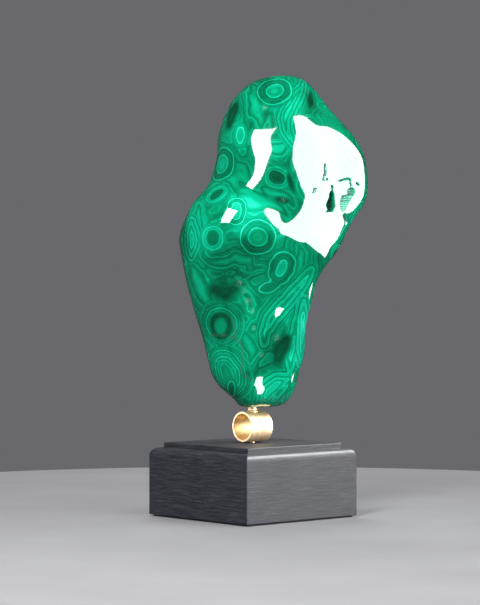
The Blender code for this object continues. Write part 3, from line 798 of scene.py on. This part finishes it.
brassWork = {
    "ringRadius": 10.5,  # all in millimetres
    "ringWall": 1.6,
    "ringLength": 19.0,
    "rimRound": 0.25,
    "ringAxis": 62.1,  # height of the ring's axis
    "pinRadius": 3.1,
    "pinTop": 102.9,
    "pinFlare": 0.7,  # the fillet of solder where the pin meets the ring
    "studRadius": 1.5,
    "footPinEnd": 30.9,
    "ringSteps": 160,
    "turnedSteps": 64,
    "roughness": 0.52,
    "brushing": 0.14,  # how much the roughness varies
    "tones": ((0.3, (204, 174, 130)), (0.55, (229, 203, 164)), (0.8, (243, 224, 192))),
    # painted shade: the darker colour of the ring's bore
    "boreShadeTone": (168, 134, 66),
}


def brassFinish():
    net, shader, made = newFinish("satinBrass", Metallic=1.0, Roughness=brassWork["roughness"])
    brushed = net.noise(net.place(9, 0.25, 9), 1.0, 3, 0.7)
    tarnish = net.noise(net.place(), 0.35, 4, 0.6)
    colour = net.tones(tarnish, brassWork["tones"])
    # the ring's bore is painted darker as shade
    bore = net.math("MULTIPLY", net.read("bore"), 0.6)
    colour = net.mix(bore, colour, screenTone(brassWork["boreShadeTone"]))
    least = brassWork["roughness"] - brassWork["brushing"] / 2
    roughness = net.math("MULTIPLY_ADD", brushed, brassWork["brushing"], least)
    joinFinish(shader, colour, roughness, net.bump(0.2, 0.00002, brushed))
    return made


def roundedWall(inner, outer, half, radius, steps=6):
    # a rectangle with rounded corners as (radius, along) points, with close rows beside each bend
    turn = np.linspace(0, pi / 2, steps + 1)
    points = []
    near, far, end = inner + radius, outer - radius, half - radius
    for k, (r, y) in enumerate(((far, end), (near, end), (near, -end), (far, -end))):
        angle = turn + k * pi / 2
        points.append(np.stack([r + radius * np.cos(angle), y + radius * np.sin(angle)], axis=1))
    loop = np.concatenate(points)
    ends = np.roll(loop, -1, axis=0)
    gap = np.linalg.norm(ends - loop, axis=1)
    held = [
        np.concatenate([[p], p + (q - p) * np.array([[0.04], [0.35], [0.65], [0.96]])])
        if d > 0.3 else [p]
        for p, q, d in zip(loop, ends, gap)
    ]
    return np.concatenate(held)


def turnedGrid(profile, steps, foot=None):
    # (radius, height) points turned about Z. foot(radius, angle) gives the first rows' height.
    angle = 2 * pi * np.arange(steps) / steps
    radius, height = profile[:, :1], profile[:, 1:]
    if foot is not None:
        height = np.where(np.isnan(height), foot(radius, angle), height)
    return turnedPoints(radius, angle, height)


def makeRing(finish):
    ring = brassWork
    inner = ring["ringRadius"] - ring["ringWall"]
    wall = roundedWall(inner, ring["ringRadius"], ring["ringLength"] / 2, ring["rimRound"])
    # turned about Z, then Z and Y change places so that its bore runs along Y
    grid = turnedGrid(wall, ring["ringSteps"])[..., (0, 2, 1)] + (0, 0, ring["ringAxis"])
    piece = makeSurface("brassRing", grid * mm, finish, closeRows=True)
    # the inner wall's rows, which the finish paints darker as shade
    writeValues(piece.data, "bore", np.repeat(wall[:, 0] < inner + 0.05, ring["ringSteps"]))
    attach(piece, "root")
    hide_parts("brass_ring")


def makeStonePin(finish):
    # the rod's foot follows the ring's top, sqrt(R squared - x squared), and flares into it
    ring = brassWork
    top, axis = ring["ringAxis"] + ring["ringRadius"], ring["ringAxis"]
    inside = axis + ring["ringRadius"] - ring["ringWall"]
    def onRing(radius, angle):
        return axis + np.sqrt((ring["ringRadius"] + 0.02) ** 2 - (radius * np.cos(angle)) ** 2)
    rod, flare = ring["pinRadius"], ring["pinFlare"]
    bend = np.linspace(0, pi / 2, 7)
    stud = ring["studRadius"]
    dome = (0.3, 0.6, 0.8, 0.95, 1)
    profile = [(stud * s, inside - 0.35 * sqrt(1 - s * s)) for s in dome]
    profile += [(stud, top - 0.4), (rod + flare, np.nan)]
    profile += [
        (rod + flare * (1 - sin(b)), top + 0.25 + flare * 1.4 * (1 - cos(b)))
        for b in bend
    ]
    profile += [(rod, top + 2), (rod, ring["pinTop"] - 0.5), (rod - 0.4, ring["pinTop"])]
    grid = turnedGrid(np.array(profile), ring["turnedSteps"], onRing)
    tips = axisTips(inside - 0.35, ring["pinTop"])
    piece = makeSurface("stonePin", grid * mm, finish, tips)
    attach(piece, "root")
    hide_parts("stone_pin")


def makeFootPin(finish):
    ring = brassWork
    inside = ring["ringAxis"] - ring["ringRadius"] + ring["ringWall"]
    low, stud = ring["footPinEnd"], ring["studRadius"]
    profile = [(stud - 0.3, low), (stud, low + 0.3), (stud, inside - 0.1)]
    profile += [(stud * s, inside + 0.35 * sqrt(1 - s * s)) for s in (1, 0.95, 0.8, 0.6, 0.3)]
    grid = turnedGrid(np.array(profile), ring["turnedSteps"])
    piece = makeSurface("footPin", grid * mm, finish, axisTips(low, inside + 0.35))
    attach(piece, "root")
    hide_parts("foot_pin")


brass = brassFinish()
makeRing(brass)
makeStonePin(brass)
makeFootPin(brass)
print("brass turned")


block = {
    "side": 101.6,  # all in millimetres
    "under": 1.1,
    "panelTop": 50.9,
    "panelInset": 7.2,
    "panelStep": 3.6,
    "shoulder": 5.4,
    "edge": 0.45,
    "holeRadius": 1.8,
    "holeDepth": 20.3,
    "roughness": 0.34,
    "dullTop": 0.3,  # roughness that the flat top adds
    "tones": ((0.36, (26, 27, 31)), (0.5, (48, 49, 55)), (0.62, (76, 77, 85))),
    "dustTone": (96, 96, 102),
}
felt = {
    "thick": 0.8,
    "inset": 2.0,
    "tones": ((0.35, (14, 14, 16)), (0.7, (44, 44, 48))),
}


def squareRings(levels, cornerSteps=5):
    # levels are (half side, corner radius, height): four corner arcs joined by straight sides,
    # with a point close beside each arc so that the faces shade flat
    half, radius, height = (np.array(levels, float)[:, k, None, None] for k in range(3))
    turn = np.linspace(0, pi / 2, cornerSteps + 1)
    sides = np.array([0.004, 0.02, 0.15, 0.3, 0.5, 0.7, 0.85, 0.98, 0.996])[:, None]
    arcs, rings = [], []
    for k in range(4):
        sign = np.array(((1, 1), (-1, 1), (-1, -1), (1, -1))[k])
        angle = turn + k * pi / 2
        unit = np.stack([np.cos(angle), np.sin(angle)], axis=1)
        arcs.append((half - radius) * sign + radius * unit)
    for k in range(4):
        start, end = arcs[k][:, -1:], arcs[(k + 1) % 4][:, :1]
        rings += [arcs[k], start + (end - start) * sides]
    plan = np.concatenate(rings, axis=1)
    return np.concatenate([plan, np.repeat(height, plan.shape[1], axis=1)], axis=2)


def roundOver(half, corner, radius, top, steps, under=False):
    # levels along a quarter round that ends flat at height top, or starts there from below
    turn = np.linspace(0, pi / 2, steps + 1)
    inward, level = (np.sin(turn), np.cos(turn)) if under else (np.cos(turn), np.sin(turn))
    heights = top + radius * (1 - level) * (1 if under else -1)
    return [(half - radius * (1 - i), corner, height) for i, height in zip(inward, heights)]


def woodFinish():
    net, shader, made = newFinish("ebonisedWood", Roughness=block["roughness"], IOR=1.5)
    shader.inputs["Specular IOR Level"].default_value = 0.11
    # grain runs level round the sides; on the flat top it runs along X
    sides, top = net.place(0.05, 0.05, 1.8), net.place(0.05, 1.8, 0.05)
    normal = net.add("NewGeometry").outputs["True Normal"]
    upward = net.add("SeparateXYZ", {0: normal}).outputs[2]
    flat = net.math("GREATER_THAN", net.math("ABSOLUTE", upward), 0.8)
    run = net.add("Mix", {0: flat, 4: sides, 5: top}, data_type="VECTOR").outputs[1]
    bend = net.noise(net.place(0.02, 0.02, 0.02), 1.0, 1)
    bent = net.vector("ADD", run, bend)
    broad = net.noise(bent, 1.0, 3, 0.6)
    pores = net.noise(bent, 3.2, 4, 0.75)
    specks = net.noise(net.place(), 1.6, 1)
    grain = net.math("MULTIPLY", net.math("ADD", broad, pores), 0.5)
    colour = net.tones(grain, block["tones"])
    dust = net.ramp(specks, ((0.78, (0, 0, 0)), (0.84, (1, 1, 1)))).outputs[0]
    dust = net.math("MULTIPLY", dust, 0.3)
    colour = net.mix(dust, colour, screenTone(block["dustTone"]))
    roughness = net.math("MULTIPLY_ADD", pores, 0.3, block["roughness"] - 0.15)
    roughness = net.math("MULTIPLY_ADD", flat, block["dullTop"], roughness)
    joinFinish(shader, colour, roughness, net.bump(0.5, 0.00012, grain))
    return made


def makeBlock():
    half, edge, under = block["side"] / 2, block["edge"], block["under"]
    top, shoulder = block["panelTop"], block["shoulder"]
    ledge, panel = top - block["panelStep"], half - block["panelInset"]
    levels = [(0.5, 0.1, under), (half * 0.6, edge, under), (half - edge - 0.3, edge, under)]
    levels += roundOver(half, edge, edge, under, 4, under=True)
    levels += [(half, edge, under + edge + 0.3), (half, edge, 15), (half, edge, 30)]
    levels += [(half, edge, ledge - shoulder - 0.3)]
    levels += roundOver(half, edge, shoulder, ledge, 16)
    levels += [(half - shoulder - 0.2, edge, ledge), (panel + 0.15, edge, ledge)]
    levels += [(panel, edge, ledge), (panel, edge, ledge + 0.15), (panel, edge, top - edge - 0.3)]
    levels += roundOver(panel, edge, edge, top, 4)
    levels += [(panel - edge - 0.3, edge, top), (panel * 0.6, edge, top), (panel * 0.2, edge, top)]
    grid = squareRings(levels)
    unit = grid[-1, :, :2] / np.linalg.norm(grid[-1, :, :2], axis=1, keepdims=True)
    hole = block["holeRadius"]
    inside = [
        np.column_stack([unit * r, np.full(len(unit), z)])
        for r, z in (
            (hole + 0.4, top), (hole + 0.1, top), (hole, top - 0.1), (hole, top - 10),
            (hole, top - block["holeDepth"]),
        )
    ]
    grid = np.concatenate([grid, inside])
    tips = axisTips(under, top - block["holeDepth"])
    piece = makeSurface("woodenBlock", grid * mm, woodFinish(), tips)
    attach(piece, "root")
    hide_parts("wooden_block")


def feltFinish():
    net, shader, made = newFinish("blackFelt", Roughness=0.95)
    shader.inputs["Sheen Weight"].default_value = 0.4
    fibres = net.noise(net.place(2.2, 2.2, 6), 1.0, 4, 0.8)
    colour = net.tones(fibres, felt["tones"])
    joinFinish(shader, colour, relief=net.bump(0.6, 0.0002, fibres))
    return made


def makeFelt():
    half, thick = block["side"] / 2 - felt["inset"], felt["thick"]
    levels = [(0.5, 0.1, 0), (half - 0.6, 1, 0), (half - 0.1, 1, 0.1), (half, 1, thick * 0.5)]
    levels += [(half - 0.1, 1, thick - 0.1), (half - 0.6, 1, thick), (0.5, 0.1, thick)]
    grid = squareRings(levels)
    piece = makeSurface("feltPad", grid * mm, feltFinish(), axisTips(0, thick))
    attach(piece, "root")
    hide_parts("felt_pad")


makeBlock()
makeFelt()
print("block and felt made")


studio = {
    "floorRadius": 440,  # millimetres
    "floorThick": 10,
    "floorEdge": 3,
    "surround": (0.14, 0.138, 0.152),
    "mirrored": (0.045, 0.055, 0.055),  # the surround as polish mirrors it
    "stripMirrored": 15,  # watts of each softbox as the polish mirrors it, and as it lights
    "stripLit": 21.5,
    "bigMirrored": 94,
    "bigLit": 18.5,
    "backLit": 14,
    "ringCard": 7.5,
    "blockCard": 52,
    "litHigher": 9,  # degrees that the lighting ones stand above the mirrored ones
    "aim": 0.19,  # height that they face
    "lens": 132.2,
    "shift": -0.0162,
    "camera": (1.1410, -1.0265, 0.1544),
}
# degrees about the stone from the camera's line, distances and sizes in metres
places = {
    # name: azimuth, elevation, turn, distance, size
    "strip": (-22.07, 20.73, -13.18, 1.3, (0.338, 0.843)),
    "big": (62.19, 15.25, -20.61, 1.1, (1.915, 1.165)),
    "back": (190, 35, -13.18, 1.3, (0.9, 0.9)),
    "ring": (-96, 4, 0, 0.9, (0.7, 0.7)),
    "block": (106, 43, 0, 0.9, (0.6, 0.6)),
}
backward = Vector((0.7472, -0.6646, 0))
sideways = Vector((0.6646, 0.7472, 0))


def makeFloor():
    net, shader, made = newFinish("paleTable", Roughness=0.9)
    shader.inputs["Specular IOR Level"].default_value = 0
    mottle = net.noise(net.place(0.01, 0.01, 0.01), 1.0, 3)
    colour = net.ramp(mottle, ((0.3, (0.27, 0.27, 0.28)), (0.7, (0.3, 0.3, 0.31))))
    joinFinish(shader, colour.outputs[0])
    edge, low, bevel = studio["floorRadius"], -studio["floorThick"], studio["floorEdge"]
    rows = [(0.1, low), (edge - bevel, low), (edge, low + bevel), (edge, -bevel), (edge - bevel, 0)]
    grid = turnedGrid(np.array([*rows, (0.1, 0)], float), 128)
    floor = makeSurface("floor", grid * mm, made, axisTips(low, 0))
    floor.visible_glossy = False


def addSoftbox(place, kind, raised=0):
    # a rectangle that faces the stone, turned about the line to it. A lit one only lights matt
    # surfaces, and the other kinds are only mirrored in polished ones.
    *turns, distance, size = places[place]
    azimuth, elevation, turn = (radians(v + add) for v, add in zip(turns, (0, raised, 0)))
    level = backward * cos(azimuth) + sideways * sin(azimuth)
    direction = level * cos(elevation) + Vector((0, 0, sin(elevation)))
    across = Vector((0, 0, 1)).cross(direction).normalized()
    up = direction.cross(across)
    light = bpy.data.lights.new(place + kind, "AREA")
    light.shape = "RECTANGLE"
    light.size, light.size_y = size
    light.energy = studio[place + kind]
    lamp = bpy.data.objects.new(place + kind, light)
    bpy.context.scene.collection.objects.link(lamp)
    lamp.location = Vector((0, 0, studio["aim"])) + direction * distance
    c, s = cos(turn), sin(turn)
    axes = (across * c + up * s, up * c - across * s, direction)
    lamp.rotation_euler = Matrix(axes).transposed().to_euler()
    lamp.visible_diffuse = kind == "Lit"
    lamp.visible_glossy = kind != "Lit"
    return lamp


def addCard(place, pieces):
    # a card that only some pieces mirror
    lamp = addSoftbox(place, "Card")
    seenBy = bpy.data.collections.new(place + "CardPieces")
    for piece in pieces:
        seenBy.objects.link(bpy.data.objects[piece])
    lamp.light_linking.receiver_collection = seenBy


def addCamera():
    lens = bpy.data.cameras.new("camera")
    lens.lens, lens.sensor_width = studio["lens"], 36
    lens.shift_y = studio["shift"]
    camera = bpy.data.objects.new("camera", lens)
    bpy.context.scene.collection.objects.link(camera)
    camera.location = studio["camera"]
    camera.rotation_euler = (-backward).to_track_quat("-Z", "Y").to_euler()
    bpy.context.scene.camera = camera


def setSurround():
    world = bpy.data.worlds.new("surround")
    bpy.context.scene.world = world
    world.use_nodes = True
    # dark flags round the set: reflections see less of it than the camera
    net = Nodes(world.node_tree)
    mirrored = net.add("LightPath").outputs["Is Glossy Ray"]
    shade = net.mix(mirrored, (*studio["surround"], 1), (*studio["mirrored"], 1))
    net.tree.links.new(shade, net.tree.nodes["Background"].inputs[0])
    bpy.context.scene.view_settings.view_transform = "Standard"


makeFloor()
for place in ("strip", "big"):
    addSoftbox(place, "Mirrored")
    addSoftbox(place, "Lit", studio["litHigher"])
addCard("ring", ("brassRing", "stonePin", "footPin"))
addCard("block", ("woodenBlock",))
addSoftbox("back", "Lit")
addCamera()
setSurround()
print("studio set")
